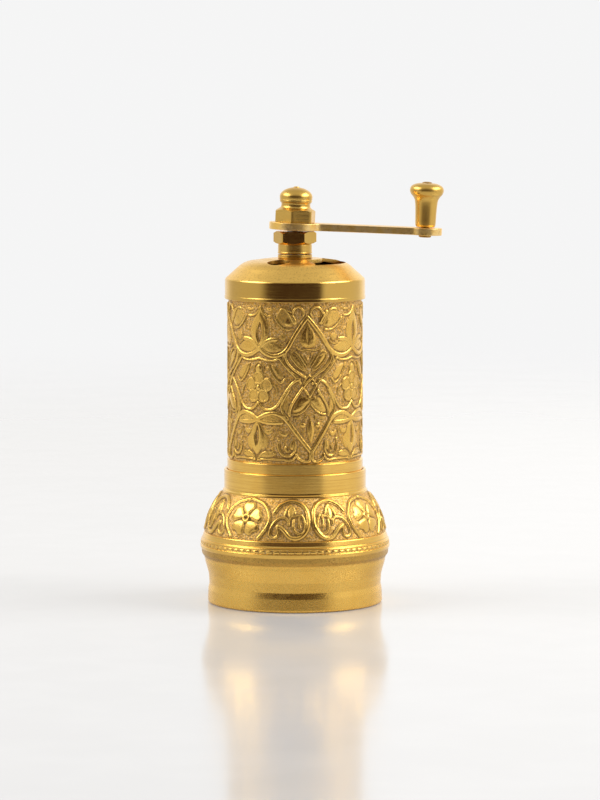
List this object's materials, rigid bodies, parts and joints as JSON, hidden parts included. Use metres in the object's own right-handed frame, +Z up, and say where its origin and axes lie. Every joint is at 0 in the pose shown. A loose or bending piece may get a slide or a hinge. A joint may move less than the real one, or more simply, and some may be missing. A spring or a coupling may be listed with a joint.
{
  "type": "hand coffee mill",
  "caption": "Brass hand-cranked coffee mill: embossed tube with domed cap and crank, conical burrs inside, plugged into a bell-shaped cup.",
  "frame": {"origin": "on the mill's axis, in the underside of the cup, at the surface that the mill stands on", "axes": "+Z up along the mill's axis, +X along the crank arm at rest, -Y towards the viewer's side"},
  "size_m": [0.0632, 0.0494, 0.1093],
  "materials": {
    "cast_brass": "embossed casting, antiqued in its recesses",
    "turned_brass": "turned satin",
    "polished_brass": "polished",
    "steel": "turned",
    "burr_steel": "hardened, machined teeth",
    "spring_steel": "drawn wire"
  },
  "bodies": {
    "base": {"base_cup": "cast_brass", "base_floor_plate": "turned_brass"},
    "mill": {"body_shell": "cast_brass", "top_plate": "turned_brass", "upper_bush": "turned_brass", "bush_nut": "turned_brass", "cap_retaining_ring": "turned_brass", "ring_burr": "burr_steel", "lower_bridge": "turned_brass", "bridge_screw_1": "steel", "bridge_screw_2": "steel", "bridge_screw_3": "steel", "pressure_spring": "spring_steel"},
    "cap": {"dome_cap": "polished_brass"},
    "thrust": {"thrust_ball": "steel"},
    "adjuster": {"adjusting_screw": "turned_brass"},
    "crank": {"drive_shaft": "steel", "cone_burr": "burr_steel", "cone_nut": "steel", "shaft_clip": "spring_steel", "spring_washer": "steel", "shaft_collar": "turned_brass", "jam_nut": "turned_brass", "crank_arm": "turned_brass", "cap_nut": "polished_brass", "grip_pin": "turned_brass"},
    "handle": {"grip": "polished_brass"}
  },
  "joints": [
    {"name": "body_lift", "type": "slide", "parent": "base", "child": "mill", "axis": [0, 0, 1], "range_m": [0, 0.03]},
    {"name": "cap_turn", "type": "hinge", "parent": "mill", "child": "cap", "pos_m": [0, 0, 0.0895], "axis": [0, 0, 1], "continuous": true},
    {"name": "shaft_lift", "type": "slide", "parent": "mill", "child": "thrust", "axis": [0, 0, 1], "range_m": [0, 0.00058], "deforming": ["pressure_spring"]},
    {"name": "adjust_turn", "type": "hinge", "parent": "thrust", "child": "adjuster", "pos_m": [0, 0, 0.0226], "axis": [0, 0, 1], "range_deg": [0, 300]},
    {"name": "crank_turn", "type": "hinge", "parent": "thrust", "child": "crank", "pos_m": [0, 0, 0.098], "axis": [0, 0, 1], "continuous": true},
    {"name": "grip_spin", "type": "hinge", "parent": "crank", "child": "handle", "pos_m": [0.03367, 0, 0.09662], "axis": [0.041, 0, 0.9992], "continuous": true}
  ],
  "couplings": [
    {"joint": "adjust_turn", "follows": "shaft_lift", "rad_per_m": 8976}
  ]
}
